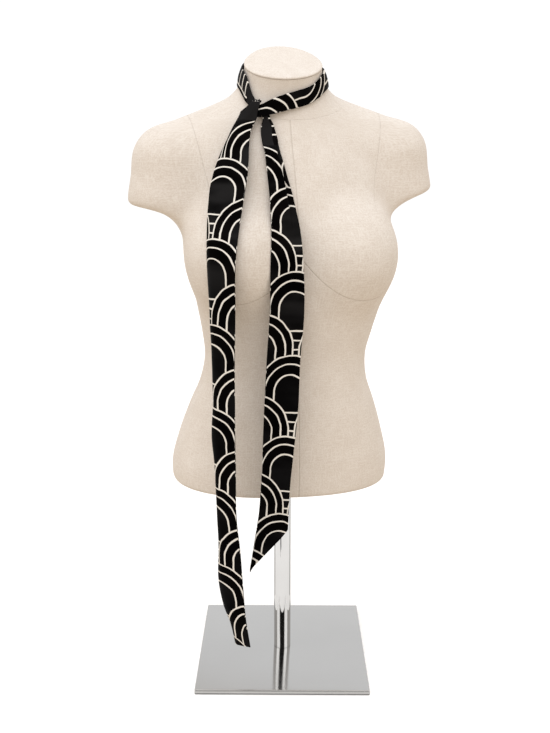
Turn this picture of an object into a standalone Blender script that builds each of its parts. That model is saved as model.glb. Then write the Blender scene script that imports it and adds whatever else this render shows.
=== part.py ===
"""Skinny scarf tied round the neck of a linen dress form on a square chrome stand.

Units are metres and +Z is up. The origin is on the floor, on the axis of the pole.
The viewer stands at -Y, and the form is turned a little towards +X, as on a shop table.
"""

import math
from collections import namedtuple

import bmesh
import bpy
import numpy as np
from mathutils import Vector
from mathutils.bvhtree import BVHTree

# Driving dimensions
PLATE_SIDE = 0.254
PLATE_THICKNESS = 0.008
PLATE_EDGE_RADIUS = 0.0012
POLE_DIAMETER = 0.026
POLE_SIDES = 32
SOCKET_DEPTH = 0.060
HEM_HEIGHT = 0.2850
HEM_RADIUS = 0.007
HEM_ROLL = math.radians(2.1)
FORM_TURN = math.radians(12.0)
CLOTH_WALL = 0.0014
STRAND_WALL = 0.003
KNOT_END_WALL = 0.0024
SEAM_GAP = 0.0003
REST_GAP = 0.0010
RING_POINTS = 52
RING_BIAS = 1.45

# The trunk of the form, in the form's own frame: reach of each side of the pole's axis
Trunk = namedtuple("Trunk", "height half_width front back centre_x")
TRUNK = [
    Trunk(0.270, 0.1590, 0.082, 0.120, 0.0),
    Trunk(0.315, 0.1620, 0.088, 0.129, 0.0),
    Trunk(0.361, 0.1512, 0.091, 0.121, 0.0),
    Trunk(0.408, 0.1356, 0.092, 0.101, 0.0),
    Trunk(0.446, 0.1212, 0.091, 0.081, 0.0),
    Trunk(0.483, 0.1161, 0.092, 0.066, 0.001),
    Trunk(0.520, 0.1220, 0.098, 0.061, 0.003),
    Trunk(0.560, 0.1308, 0.107, 0.064, 0.0045),
    Trunk(0.605, 0.1362, 0.112, 0.077, 0.002),
    Trunk(0.650, 0.1425, 0.109, 0.088, 0.0),
    Trunk(0.700, 0.1440, 0.100, 0.096, 0.0),
    Trunk(0.740, 0.1400, 0.088, 0.097, 0.0),
    Trunk(0.775, 0.1220, 0.074, 0.091, 0.0),
    Trunk(0.805, 0.0900, 0.060, 0.082, 0.0),
    Trunk(0.835, 0.0560, 0.046, 0.064, 0.0),
    Trunk(0.870, 0.0350, 0.036, 0.044, 0.0),
    Trunk(0.950, 0.0200, 0.030, 0.030, 0.0),
]
TRUNK_SQUARENESS = 2.25

# The neck leans forward, and each of its rings is tipped further until the cap's own tilt
NeckRing = namedtuple("NeckRing", "height centre_x centre_y radius_x radius_y tilt roll")
NECK = [
    NeckRing(0.790, 0.0000, 0.008, 0.0600, 0.0600, 0.0, 0.0),
    NeckRing(0.815, -0.0010, 0.002, 0.0545, 0.0560, 4.0, 0.6),
    NeckRing(0.840, -0.0025, -0.006, 0.0515, 0.0535, 10.0, 1.4),
    NeckRing(0.862, -0.0040, -0.014, 0.0507, 0.0530, 18.5, 2.7),
    NeckRing(0.8765, -0.0045, -0.019, 0.0510, 0.0540, 24.2, 3.6),
]

# One shoulder, mirrored for the other: a rounded stub that ends in a flat cut under the arm.
# The form's own left shoulder sits a little higher, by the two rises for each metre sideways
YOKE_INNER = (0.050, 0.008, 0.800)
YOKE_OUTER = (0.158, 0.004, 0.756)
YOKE_INNER_RADIUS = 0.043
YOKE_OUTER_RADIUS = 0.048
STUB_BOTTOM = (0.167, 0.002, 0.708)
STUB_CUT_POINT = (0.186, 0.697)
STUB_CUT_TILT = math.radians(14.0)
SHOULDER_RISE = 0.022
STUB_CUT_RISE = 0.018

# One bust cup, mirrored for the other
CUP_CENTRE = (0.079, -0.070, 0.628)
CUP_RADII = (0.064, 0.066, 0.070)

SOFT_SHOULDER = 0.035
SOFT_NECK = 0.028
SOFT_CUP = 0.030
SOFT_CUT = 0.008


def smooth_column(rows, column, at):
    """A smooth curve through one column of a table, read at the values in at of its first column."""
    xs = np.array([row[0] for row in rows], float)
    ys = np.array([getattr(row, column) for row in rows], float)
    if xs[0] > xs[-1]:
        xs, ys = xs[::-1], ys[::-1]
    slopes = np.gradient(ys, xs)
    at = np.clip(np.asarray(at, float), xs[0], xs[-1])
    i = np.clip(np.searchsorted(xs, at) - 1, 0, len(xs) - 2)
    span = xs[i + 1] - xs[i]
    t = (at - xs[i]) / span
    rise = ys[i] * (1 + 2 * t) * (1 - t) ** 2 + ys[i + 1] * t**2 * (3 - 2 * t)
    return rise + span * t * (1 - t) * ((1 - t) * slopes[i] - t * slopes[i + 1])


def soft_union(a, b, reach):
    """The smaller of two distances, with the crease between them rounded over reach."""
    share = np.clip(0.5 + 0.5 * (b - a) / reach, 0.0, 1.0)
    return b * (1 - share) + a * share - reach * share * (1 - share)


def trunk_distance(x, y, z):
    half = smooth_column(TRUNK, "half_width", z)
    front = smooth_column(TRUNK, "front", z)
    back = smooth_column(TRUNK, "back", z)
    depth = (front + back) / 2
    across = np.abs((x - smooth_column(TRUNK, "centre_x", z)) / half) ** TRUNK_SQUARENESS
    along = np.abs((y - (back - front) / 2) / depth) ** TRUNK_SQUARENESS
    return ((across + along) ** (1 / TRUNK_SQUARENESS) - 1) * np.minimum(half, depth)


def neck_distance(x, y, z):
    aside = x - smooth_column(NECK, "centre_x", z)
    along = y - smooth_column(NECK, "centre_y", z)
    wide = smooth_column(NECK, "radius_x", z)
    deep = smooth_column(NECK, "radius_y", z)
    return (np.sqrt((aside / wide) ** 2 + (along / deep) ** 2) - 1) * wide


def capsule_distance(x, y, z, start, end, start_radius, end_radius):
    start, end = np.array(start), np.array(end)
    line = end - start
    point = np.stack([x - start[0], y - start[1], z - start[2]])
    share = np.clip(np.tensordot(line, point, 1) / line.dot(line), 0.0, 1.0)
    gap = point - line.reshape(3, *[1] * np.ndim(x)) * share
    radius = start_radius + (end_radius - start_radius) * share
    return np.sqrt((gap**2).sum(0)) - radius


def shoulder_distance(x, y, z):
    side = np.abs(x)
    z = z - SHOULDER_RISE * x
    yoke = capsule_distance(
        side, y, z, YOKE_INNER, YOKE_OUTER, YOKE_INNER_RADIUS, YOKE_OUTER_RADIUS
    )
    stub = capsule_distance(
        side, y, z, YOKE_OUTER, STUB_BOTTOM, YOKE_OUTER_RADIUS, YOKE_OUTER_RADIUS
    )
    arm = soft_union(yoke, stub, SOFT_CUT)
    below = (STUB_CUT_POINT[1] + STUB_CUT_RISE * x - z) * math.cos(STUB_CUT_TILT)
    below = below + (side - STUB_CUT_POINT[0]) * math.sin(STUB_CUT_TILT)
    return -soft_union(-arm, -below, SOFT_CUT)


def cup_distance(x, y, z):
    reach = np.stack([np.abs(x) - CUP_CENTRE[0], y - CUP_CENTRE[1], z - CUP_CENTRE[2]])
    radii = np.array(CUP_RADII).reshape(3, *[1] * np.ndim(x))
    return (np.sqrt(((reach / radii) ** 2).sum(0)) - 1) * CUP_RADII[0]


def form_distance(x, y, z):
    """Below zero inside the form, in the form's own frame."""
    body = soft_union(trunk_distance(x, y, z), shoulder_distance(x, y, z), SOFT_SHOULDER)
    body = soft_union(body, cup_distance(x, y, z), SOFT_CUP)
    return soft_union(body, neck_distance(x, y, z), SOFT_NECK)


def surface_ring(centre, tilt, roll, count, bias):
    """Points where rays from centre leave the form, in a plane tipped by tilt and roll."""
    turn = np.arange(count) * 2 * math.pi / count
    ray = np.stack([np.cos(turn) * bias, np.sin(turn), np.zeros(count)])
    ray /= np.linalg.norm(ray, axis=0)
    rise = ray[1] * math.sin(tilt) + ray[0] * math.sin(roll)
    ray = np.stack([ray[0] * math.cos(roll), ray[1] * math.cos(tilt), rise])
    low, high = np.zeros(count), np.full(count, 0.30)
    for _ in range(34):
        middle = (low + high) / 2
        x, y, z = (centre[k] + ray[k] * middle for k in range(3))
        inside = form_distance(x, y, z) < 0
        low, high = np.where(inside, middle, low), np.where(inside, high, middle)
    return np.array(centre)[None, :] + (ray * low).T


def trunk_centre_y(z):
    front = smooth_column(TRUNK, "front", z)
    back = smooth_column(TRUNK, "back", z)
    return float(back - front) / 2


def steps(start, stop, size):
    """Evenly spaced values from start up to, but not with, stop, about size apart."""
    return list(np.linspace(start, stop, max(1, round((stop - start) / size)), endpoint=False))


def form_rings(count=RING_POINTS, fineness=1.0):
    """Every ring of the form from hem to neck, in the world frame."""
    hem = [HEM_HEIGHT + HEM_RADIUS * (1 - math.cos(a)) for a in (0.0, 0.8, 1.57)]
    heights = hem + steps(0.302, 0.672, 0.0185 * fineness)
    heights += steps(0.672, 0.708, 0.0045 * fineness)
    heights += steps(0.708, NECK[0].height, 0.010 * fineness)
    rings = []
    for z in heights:
        roll = -HEM_ROLL * max(0.0, 1 - (z - HEM_HEIGHT) / 0.10)
        lift = min(1.0, (z - HEM_HEIGHT) / HEM_RADIUS)
        inset = HEM_RADIUS * (1 - math.sqrt(1 - (1 - lift) ** 2))
        middle = np.array([0.0, trunk_centre_y(z), z])
        ring = surface_ring(middle, 0.0, roll, count, RING_BIAS)
        away = ring - middle
        reach = np.linalg.norm(away, axis=1, keepdims=True)
        rings.append(ring - away / reach * inset)
    for z in steps(NECK[0].height, NECK[-1].height, 0.0065 * fineness) + [NECK[-1].height]:
        tilt = math.radians(float(smooth_column(NECK, "tilt", z)))
        roll = math.radians(float(smooth_column(NECK, "roll", z)))
        ease = min(1.0, (z - NECK[0].height) / 0.02)
        centre_x = ease * float(smooth_column(NECK, "centre_x", z))
        centre_y = (1 - ease) * trunk_centre_y(z) + ease * float(smooth_column(NECK, "centre_y", z))
        bias = RING_BIAS + (1.0 - RING_BIAS) * ease
        rings.append(surface_ring((centre_x, centre_y, z), tilt, roll, count, bias))
    return [turned(ring) for ring in rings]


def turned(points):
    """Points of the form's own frame, turned into the world frame."""
    c, s = math.cos(FORM_TURN), math.sin(FORM_TURN)
    x, y, z = points[:, 0], points[:, 1], points[:, 2]
    return np.stack([x * c - y * s, x * s + y * c, z], axis=1)


def lofted(name, rings, material, ribbon=False):
    """One closed object through rings of equal count; the ends of a ribbon close across its wall."""
    bm = bmesh.new()
    loops = [[bm.verts.new(p) for p in ring] for ring in rings]
    count = len(loops[0])
    for lower, upper in zip(loops, loops[1:]):
        for i in range(count):
            j = (i + 1) % count
            bm.faces.new((lower[i], lower[j], upper[j], upper[i]))
    for loop in (loops[0][::-1], loops[-1]):
        for corners in wall_faces(count) if ribbon else [range(count)]:
            bm.faces.new([loop[i] for i in corners])
    bmesh.ops.recalc_face_normals(bm, faces=bm.faces)
    mesh = bpy.data.meshes.new(name)
    bm.to_mesh(mesh)
    bm.free()
    return placed(name, mesh, material)


def wall_faces(count):
    """The faces that close a section from wall_ring, from one edge of the cloth to the other."""
    last = count // 2 - 2
    quads = [(i, i + 1, count - 3 - i, count - 2 - i) for i in range(last)]
    return quads + [(last, last + 1, last + 2), (count - 2, count - 1, 0)]


def placed(name, mesh, material):
    obj = bpy.data.objects.new(name, mesh)
    bpy.context.scene.collection.objects.link(obj)
    if material:
        mesh.materials.append(material)
    mesh.shade_smooth()
    mesh.set_sharp_from_angle(angle=math.radians(35))
    return obj


def surface_material(name, colour, roughness, metallic=0.0):
    material = bpy.data.materials.new(name)
    material.use_nodes = True
    shader = material.node_tree.nodes["Principled BSDF"]
    shader.inputs["Base Color"].default_value = (*colour, 1.0)
    shader.inputs["Roughness"].default_value = roughness
    shader.inputs["Metallic"].default_value = metallic
    return material


def round_bar(name, radius, bottom, top, material):
    """An upright round bar on the pole's axis."""
    bm = bmesh.new()
    bmesh.ops.create_cone(
        bm, cap_ends=True, segments=POLE_SIDES, radius1=radius, radius2=radius, depth=top - bottom
    )
    bmesh.ops.translate(bm, verts=bm.verts, vec=(0.0, 0.0, (top + bottom) / 2))
    mesh = bpy.data.meshes.new(name)
    bm.to_mesh(mesh)
    bm.free()
    return placed(name, mesh, material)


def build_stand(steel, chrome):
    """The square plate on the floor and the pole that stands on it."""
    bm = bmesh.new()
    bmesh.ops.create_cube(bm, size=1.0)
    size = (PLATE_SIDE, PLATE_SIDE, PLATE_THICKNESS)
    bmesh.ops.scale(bm, verts=bm.verts, vec=size)
    bmesh.ops.translate(bm, verts=bm.verts, vec=(0.0, 0.0, PLATE_THICKNESS / 2))
    mesh = bpy.data.meshes.new("base_plate")
    bm.to_mesh(mesh)
    bm.free()
    plate = placed("base_plate", mesh, steel)
    bevel = plate.modifiers.new("rounded edges", "BEVEL")
    bevel.width = PLATE_EDGE_RADIUS
    bevel.segments = 2
    top = HEM_HEIGHT + SOCKET_DEPTH - SEAM_GAP
    round_bar("pole", POLE_DIAMETER / 2, PLATE_THICKNESS + SEAM_GAP, top, chrome)


def build_form(linen):
    """The torso with its shoulder caps, the socket for the pole, and the disc on the neck."""
    rings = form_rings()
    torso = lofted("form_torso", rings, linen)
    radius = POLE_DIAMETER / 2 + SEAM_GAP
    socket = round_bar("socket cutter", radius, HEM_HEIGHT - 0.02, HEM_HEIGHT + SOCKET_DEPTH, None)
    socket.hide_render = True
    socket.display_type = "WIRE"
    cut = torso.modifiers.new("socket", "BOOLEAN")
    cut.operation = "DIFFERENCE"
    cut.object = socket

    edge = rings[-1]
    middle = edge.mean(axis=0)
    up = np.cross(edge[0] - middle, edge[RING_POINTS // 4] - middle)
    up /= np.linalg.norm(up)
    layers = []
    for lift, inset in ((0.0, 0.0004), (0.0009, -0.0006), (0.0021, -0.0006), (0.003, 0.0008)):
        away = edge - middle
        reach = np.linalg.norm(away, axis=1, keepdims=True)
        layers.append(middle + away * (1 - inset / reach) + up * (SEAM_GAP + lift))
    lofted("neck_cap", layers, linen)
    return BVHTree.FromPolygons(*ring_faces(rings))


def ring_faces(rings):
    """Vertices and quads of the open loft through rings, for measuring."""
    count = len(rings[0])
    quads = [
        (r * count + i, r * count + (i + 1) % count, (r + 1) * count + (i + 1) % count, (r + 1) * count + i)
        for r in range(len(rings) - 1)
        for i in range(count)
    ]
    return [tuple(p) for ring in rings for p in ring], quads


# A section of cloth is a run of zones across it: length, how far it turns, and segments
Zone = namedtuple("Zone", "length turn segments")
FOLD_RADIUS = 0.00105


def section_line(zones):
    """Points and headings of the cloth's middle line, from one edge to the other.

    The first number of a point goes across, and the second goes back from the viewer.
    """
    heading = 0.0
    points = [np.zeros(2)]
    headings = [heading]
    for zone in zones:
        for _ in range(zone.segments):
            step = zone.length / zone.segments
            middle = heading + zone.turn / zone.segments / 2
            heading += zone.turn / zone.segments
            points.append(points[-1] + step * np.array([math.cos(middle), math.sin(middle)]))
            headings.append(heading)
    return np.array(points), np.array(headings)


def wall_ring(points, headings, wall):
    """The closed outline of a wall of that thickness round a section's middle line."""
    side = np.stack([-np.sin(headings), np.cos(headings)], axis=1) * wall / 2
    ahead = np.stack([np.cos(headings), np.sin(headings)], axis=1) * wall / 2
    front, back = points - side, points + side
    return np.vstack([front, points[-1:] + ahead[-1:], back[::-1], points[:1] - ahead[:1]])


def curled_zones(flat, shown):
    """Zones of a cloth that lies flat and then rolls back, so that only shown of it is seen."""

    def zones(turn):
        return [Zone(0.45 * flat, 0.0, 4), Zone(0.55 * flat, turn, 7)]

    low, high = math.radians(2), math.radians(235)
    for _ in range(26):
        middle = (low + high) / 2
        if np.ptp(section_line(zones(middle))[0][:, 0]) > shown:
            low = middle
        else:
            high = middle
    return zones(low)


def pleated_zones(shown, front, overlap):
    """Zones of a cloth with one pleat: the front layer, the return behind it and the next layer.

    The pleat opens out as its overlap runs down to nothing.
    """
    turn = math.pi * min(1.0, max(0.0, (overlap - 0.001) / 0.006))
    bend = math.pi * FOLD_RADIUS
    rest = shown - front - overlap * math.cos(turn) - 2 * bend * float(np.sinc(turn / math.pi))
    return [
        Zone(front, 0.0, 3),
        Zone(bend, turn, 3),
        Zone(max(overlap, 0.001), 0.0, 3),
        Zone(bend, -turn, 3),
        Zone(max(rest, 0.002), 0.0, 4),
    ]


# Each tail starts with a few stations that hide in the knot, seen edge to edge as one fold
KnotEnd = namedtuple("KnotEnd", "x y height width")
LEFT_KNOT_END = [
    KnotEnd(-0.0315, -0.0655, 0.8302, 0.0065),
    KnotEnd(-0.0335, -0.0698, 0.8295, 0.0080),
    KnotEnd(-0.0362, -0.0728, 0.8256, 0.0110),
    KnotEnd(-0.0400, -0.0742, 0.8195, 0.0145),
]
RIGHT_KNOT_END = [
    KnotEnd(-0.0235, -0.0666, 0.8180, 0.0076),
    KnotEnd(-0.0226, -0.0682, 0.8120, 0.0085),
    KnotEnd(-0.0216, -0.0698, 0.8060, 0.0096),
]

# Left tail, from the knot down: centre and shown width measured level, and the turn of its face
LeftRow = namedtuple("LeftRow", "height centre_x shown flat face")
LEFT_TAIL = [
    LeftRow(0.810, -0.0450, 0.0205, 0.024, 4.0),
    LeftRow(0.794, -0.0525, 0.0225, 0.031, 6.0),
    LeftRow(0.778, -0.0575, 0.0285, 0.038, 8.0),
    LeftRow(0.758, -0.0625, 0.0380, 0.045, 10.0),
    LeftRow(0.738, -0.0670, 0.0440, 0.047, 11.0),
    LeftRow(0.718, -0.0712, 0.0460, 0.047, 11.0),
    LeftRow(0.690, -0.0750, 0.0448, 0.047, 13.0),
    LeftRow(0.640, -0.0792, 0.0424, 0.047, 16.0),
    LeftRow(0.560, -0.0788, 0.0385, 0.047, 16.0),
    LeftRow(0.480, -0.0775, 0.0322, 0.047, 15.0),
    LeftRow(0.440, -0.0778, 0.0328, 0.047, 15.0),
    LeftRow(0.400, -0.0790, 0.0346, 0.047, 14.0),
    LeftRow(0.360, -0.0770, 0.0316, 0.047, 16.0),
    LeftRow(0.290, -0.0754, 0.0294, 0.047, 17.0),
    LeftRow(0.240, -0.0728, 0.0330, 0.047, 14.0),
    LeftRow(0.180, -0.0706, 0.0362, 0.047, 12.0),
    LeftRow(0.155, -0.0672, 0.0348, 0.047, 20.0),
    LeftRow(0.130, -0.0618, 0.0334, 0.047, 32.0),
    LeftRow(0.090, -0.0550, 0.0334, 0.047, 38.0),
]
LEFT_END = (0.0990, 0.1010)

# Right tail: as above, with the front layer and the overlap of the pleat that opens out below
RightRow = namedtuple("RightRow", "height centre_x shown front overlap face")
RIGHT_TAIL = [
    RightRow(0.800, -0.0208, 0.0125, 0.005, 0.0000, 0.0),
    RightRow(0.790, -0.0196, 0.0150, 0.008, 0.0010, -2.0),
    RightRow(0.778, -0.0170, 0.0172, 0.010, 0.0026, -5.0),
    RightRow(0.764, -0.0136, 0.0198, 0.013, 0.0050, -8.0),
    RightRow(0.748, -0.0102, 0.0230, 0.016, 0.0085, -10.0),
    RightRow(0.728, -0.0061, 0.0262, 0.019, 0.0070, -10.0),
    RightRow(0.708, -0.0019, 0.0306, 0.021, 0.0050, -10.0),
    RightRow(0.688, 0.0010, 0.0338, 0.022, 0.0034, -10.0),
    RightRow(0.668, 0.0035, 0.0366, 0.022, 0.0022, -8.0),
    RightRow(0.628, 0.0051, 0.0411, 0.022, 0.0010, -6.0),
    RightRow(0.560, 0.0052, 0.0440, 0.022, 0.0010, -4.0),
    RightRow(0.500, 0.0010, 0.0432, 0.022, 0.0010, 0.0),
    RightRow(0.430, -0.0022, 0.0442, 0.022, 0.0010, 4.0),
    RightRow(0.368, -0.0064, 0.0412, 0.022, 0.0010, 10.0),
    RightRow(0.322, -0.0096, 0.0396, 0.022, 0.0010, 14.0),
    RightRow(0.276, -0.0124, 0.0412, 0.022, 0.0010, 12.0),
    RightRow(0.250, -0.0150, 0.0440, 0.022, 0.0010, 10.0),
    RightRow(0.198, -0.0230, 0.0440, 0.022, 0.0010, 8.0),
]
RIGHT_END = (0.1935, 0.2640)
END_SLANT_REACH = 0.110
THICK_REACH = 0.014


def tail_zones(rows, z, slope):
    """The zones at height z, narrowed from the level width to the width across the cloth."""
    shown = float(smooth_column(rows, "shown", z)) * slope
    if rows is LEFT_TAIL:
        return curled_zones(float(smooth_column(rows, "flat", z)), shown)
    front = float(smooth_column(rows, "front", z)) * slope
    return pleated_zones(shown, front, float(smooth_column(rows, "overlap", z)))


def tail_section(rows, z, fall, wall):
    """A closed section of a tail at height z, and where its points lie across the cloth.

    The fall is how far the cloth comes forward for each metre that it goes down.
    """
    ahead = float(smooth_column(rows, "centre_x", z - 0.004))
    behind = float(smooth_column(rows, "centre_x", z + 0.004))
    down = np.array([(ahead - behind) / 0.008, -fall, -1.0])
    down /= np.linalg.norm(down)
    across = np.array([1.0, 0.0, 0.0]) - down[0] * down
    slope = np.linalg.norm(across)
    across /= slope
    back = np.cross(across, down)
    points, headings = section_line(tail_zones(rows, z, slope))
    local = wall_ring(points, headings, wall)
    if rows is LEFT_TAIL:
        local[:, 0] *= -1
    local[:, 0] -= (local[:, 0].max() + local[:, 0].min()) / 2
    face = math.radians(float(smooth_column(rows, "face", z)))
    aside = local[:, :1] * math.cos(face) + local[:, 1:] * math.sin(face)
    behind = local[:, 1:] * math.cos(face) - local[:, :1] * math.sin(face)
    centre = np.array([float(smooth_column(rows, "centre_x", z)), 0.0, z])
    place = (local[:, 0] - local[:, 0].min()) / np.ptp(local[:, 0])
    return centre + aside * across + behind * back, place


def front_depth(tree, x, z):
    """How far forward the form's surface reaches at that place, or None beside the form."""
    hit = tree.ray_cast(Vector((x, -1.0, z)), Vector((0.0, 1.0, 0.0)))[0]
    return hit.y if hit else None


def pulled_taut(heights, limits, top_depth):
    """Depths of a cloth pulled tight from its knot over everything in limits, then hanging."""
    hull = []
    points = [(heights[0], top_depth)] + list(zip(heights[1:], limits[1:])) + [(-5.0, min(limits))]
    for point in points:
        while len(hull) > 1:
            (z0, y0), (z1, y1) = hull[-2:]
            if (y1 - y0) * (point[0] - z0) - (point[1] - y0) * (z1 - z0) >= 0:
                break
            hull.pop()
        hull.append(point)
    zs = [z for z, _ in hull][::-1]
    ys = [y for _, y in hull][::-1]
    depths = np.interp(heights, zs, ys)
    softer = depths.copy()
    softer[1:-1] = depths[:-2] / 4 + depths[1:-1] / 2 + depths[2:] / 4
    return np.minimum(softer, np.array([depths[0]] + limits[1:]))


def tail_depths(rows, tree, top_depth, levels):
    """Where the middle line of a tail hangs in front of the form, at each level."""
    limits = []
    for z in levels:
        ring, _ = tail_section(rows, z, 0.0, CLOTH_WALL)
        found = [(front_depth(tree, p[0], p[2]), p[1]) for p in ring]
        limits.append(min([f - REST_GAP - y for f, y in found if f is not None] or [0.0]))
    return pulled_taut(levels, limits, top_depth)


def strand_wall(z, top):
    """Folded thick by the knot, and a plain double layer a little further down."""
    share = min(1.0, max(0.0, (top - z) / THICK_REACH))
    return KNOT_END_WALL + (CLOTH_WALL - KNOT_END_WALL) * share


def tail_rings(rows, knot_end, end, tree, levels):
    """Rings of one tail, from inside the knot down to its slanted end."""
    depths = tail_depths(rows, tree, 2 * knot_end[-1].y - knot_end[-2].y, levels)
    falls = -np.gradient(depths, levels)
    count = len(tail_section(rows, levels[0], 0.0, CLOTH_WALL)[1])
    rings = [knot_end_ring(knot_end, k, count, rows is LEFT_TAIL) for k in range(len(knot_end))]

    def section(z):
        fall = float(np.interp(z, levels[::-1], falls[::-1]))
        ring, place = tail_section(rows, z, fall, strand_wall(z, levels[0]))
        ring[:, 1] += float(np.interp(z, levels[::-1], depths[::-1]))
        return ring, place

    for z in levels:
        ring, place = section(z)
        weight = max(0.0, 1 - (z - levels[-1]) / END_SLANT_REACH)
        if weight > 0:
            for i in range(count):
                lift = end[0] + (end[1] - end[0]) * place[i] - levels[-1]
                ring[i] = section(z + weight * lift)[0][i]
        rings.append(ring)
    return rings


def knot_end_ring(stations, index, count, mirrored):
    """A flat, thick section at one of the stations in the knot, with count points."""
    path = np.array([[s.x, s.y, s.height] for s in stations])
    down = path[min(index + 1, len(path) - 1)] - path[max(index - 1, 0)]
    down /= np.linalg.norm(down)
    across = np.array([1.0, 0.0, 0.0]) - down[0] * down
    across /= np.linalg.norm(across)
    back = np.cross(across, down)
    segments = (count - 4) // 2
    line = np.zeros((segments + 1, 2))
    line[:, 0] = np.linspace(-0.5, 0.5, segments + 1) * stations[index].width
    local = wall_ring(line, np.zeros(segments + 1), KNOT_END_WALL)
    if mirrored:
        local[:, 0] *= -1
    return path[index] + local[:, :1] * across + local[:, 1:] * back


def tail_levels(top, bottom):
    """Heights of a tail's rings: close together near the knot, and wider apart below."""
    slanted = bottom + END_SLANT_REACH
    upper = steps(top, 0.70, -0.0075) + steps(0.70, 0.60, -0.0125) + steps(0.60, slanted, -0.021)
    return upper + steps(slanted, bottom, -0.0155) + [bottom]


# The two stretches round the neck: bearing from +X, middle height, width, and stand-off
NeckRow = namedtuple("NeckRow", "bearing height width offset")
NECK_LEFT = [
    NeckRow(90.4, 0.8765, 0.0240, 0.0),
    NeckRow(140.0, 0.8735, 0.0270, 0.0),
    NeckRow(170.0, 0.8700, 0.0245, 0.0),
    NeckRow(190.0, 0.8630, 0.0245, 0.0),
    NeckRow(205.0, 0.8560, 0.0255, 0.0003),
    NeckRow(214.0, 0.8490, 0.0260, 0.0010),
    NeckRow(222.0, 0.8385, 0.0205, 0.0020),
    NeckRow(228.0, 0.8315, 0.0145, 0.0028),
    NeckRow(233.5, 0.8270, 0.0100, 0.0034),
]
NECK_RIGHT = [
    NeckRow(-117.0, 0.8170, 0.0160, 0.0077),
    NeckRow(-104.0, 0.8225, 0.0198, 0.0055),
    NeckRow(-88.0, 0.8277, 0.0212, 0.0026),
    NeckRow(-70.0, 0.8322, 0.0216, 0.0006),
    NeckRow(-48.0, 0.8390, 0.0218, 0.0),
    NeckRow(-20.0, 0.8550, 0.0230, 0.0),
    NeckRow(0.0, 0.8620, 0.0225, 0.0),
    NeckRow(30.0, 0.8695, 0.0235, 0.0),
    NeckRow(60.0, 0.8740, 0.0245, 0.0),
    NeckRow(89.6, 0.8765, 0.0240, 0.0),
]
NECK_AXIS = (-0.002, -0.010)
WRAP_RADIUS = 0.0036
WRAP_TAIL = 0.0050
WRAP_SEGMENTS = 4


def neck_reach(bearing, z):
    """Distance from the neck's axis to its surface, at a world bearing and a height."""
    angle = bearing - FORM_TURN
    low, high = 0.0, 0.12
    for _ in range(24):
        middle = (low + high) / 2
        x, y = NECK_AXIS[0] + middle * math.cos(angle), NECK_AXIS[1] + middle * math.sin(angle)
        if form_distance(np.array([x]), np.array([y]), np.array([z]))[0] < 0:
            low = middle
        else:
            high = middle
    return low


def neck_rings(rows, count, segments=WRAP_SEGMENTS):
    """Rings of a folded band laid on the neck, each from its lower to its upper edge."""
    rings = []
    axis = turned(np.array([[*NECK_AXIS, 0.0]]))[0]
    for degrees in np.linspace(rows[0].bearing, rows[-1].bearing, count):
        bearing = math.radians(degrees)
        height = float(smooth_column(rows, "height", degrees))
        width = float(smooth_column(rows, "width", degrees))
        levels = np.linspace(height - width / 2, height + width / 2, segments + 1)
        reach = np.array([neck_reach(bearing, z) for z in levels])
        straight = np.linspace(reach[0], reach[-1], segments + 1)
        straight += max(0.0, (reach - straight).max()) + REST_GAP + STRAND_WALL / 2
        straight += float(smooth_column(rows, "offset", degrees))
        line = np.stack([straight, levels], axis=1)
        heading = math.atan2(levels[-1] - levels[0], straight[-1] - straight[0])
        outline = wall_ring(line, np.full(len(line), heading), STRAND_WALL)
        out = np.array([math.cos(bearing), math.sin(bearing), 0.0])
        ring = axis + outline[:, :1] * out
        ring[:, 2] = outline[:, 1]
        rings.append(ring)
    return rings


def wrapped_rings(rings):
    """The rings of the right-hand band, led back behind themselves round the tail's top."""
    first = rings[0]
    middle = first.mean(axis=0)
    ahead = middle - rings[1].mean(axis=0)
    ahead[2] = 0.0
    ahead /= np.linalg.norm(ahead)
    inward = np.array([ahead[1], -ahead[0], 0.0])
    lower = (first[0] + first[-2]) / 2
    upper = (first[WRAP_SEGMENTS] + first[WRAP_SEGMENTS + 2]) / 2
    lean = (upper - lower) / (upper[2] - lower[2])
    rise = first[:, 2:] - middle[2]
    level = first - rise * lean
    out = -(level - middle) @ inward
    led = []
    for degrees in (180.0, 150.0, 120.0, 90.0, 60.0, 30.0):
        angle = math.radians(degrees)
        shrink = 1 - 0.12 * degrees / 180.0
        radius = (WRAP_RADIUS + out)[:, None]
        moved = middle + inward * WRAP_RADIUS
        moved = moved - radius * math.cos(angle) * inward + radius * math.sin(angle) * ahead
        led.append(moved + rise * shrink * lean)
    return [led[0] - ahead * WRAP_TAIL] + led + rings


def main():
    for obj in list(bpy.data.objects):
        bpy.data.objects.remove(obj, do_unlink=True)
    linen = surface_material("linen", (0.75, 0.67, 0.57), 0.9)
    steel = surface_material("polished steel", (0.62, 0.62, 0.62), 0.15, 1.0)
    chrome = surface_material("chrome", (0.80, 0.80, 0.81), 0.06, 1.0)
    satin = surface_material("black satin", (0.012, 0.011, 0.012), 0.55)
    build_stand(steel, chrome)
    tree = build_form(linen)

    left = tail_rings(LEFT_TAIL, LEFT_KNOT_END, LEFT_END, tree, tail_levels(0.811, 0.096))
    lofted("tail_left", left, satin, ribbon=True)
    right = tail_rings(RIGHT_TAIL, RIGHT_KNOT_END, RIGHT_END, tree, tail_levels(0.799, 0.212))
    lofted("tail_right", right, satin, ribbon=True)
    lofted("neck_left", neck_rings(NECK_LEFT, 18), satin, ribbon=True)
    lofted("neck_right", wrapped_rings(neck_rings(NECK_RIGHT, 28)), satin, ribbon=True)


main()
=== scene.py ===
"""Skinny scarf tied round the neck of a linen dress form: the dressed, lit scene.

Units are metres, +Z is up and the viewer stands at -Y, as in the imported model.
"""

from collections import namedtuple
from functools import partialmethod
from math import cos, exp, pi, radians, sin, sqrt

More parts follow.
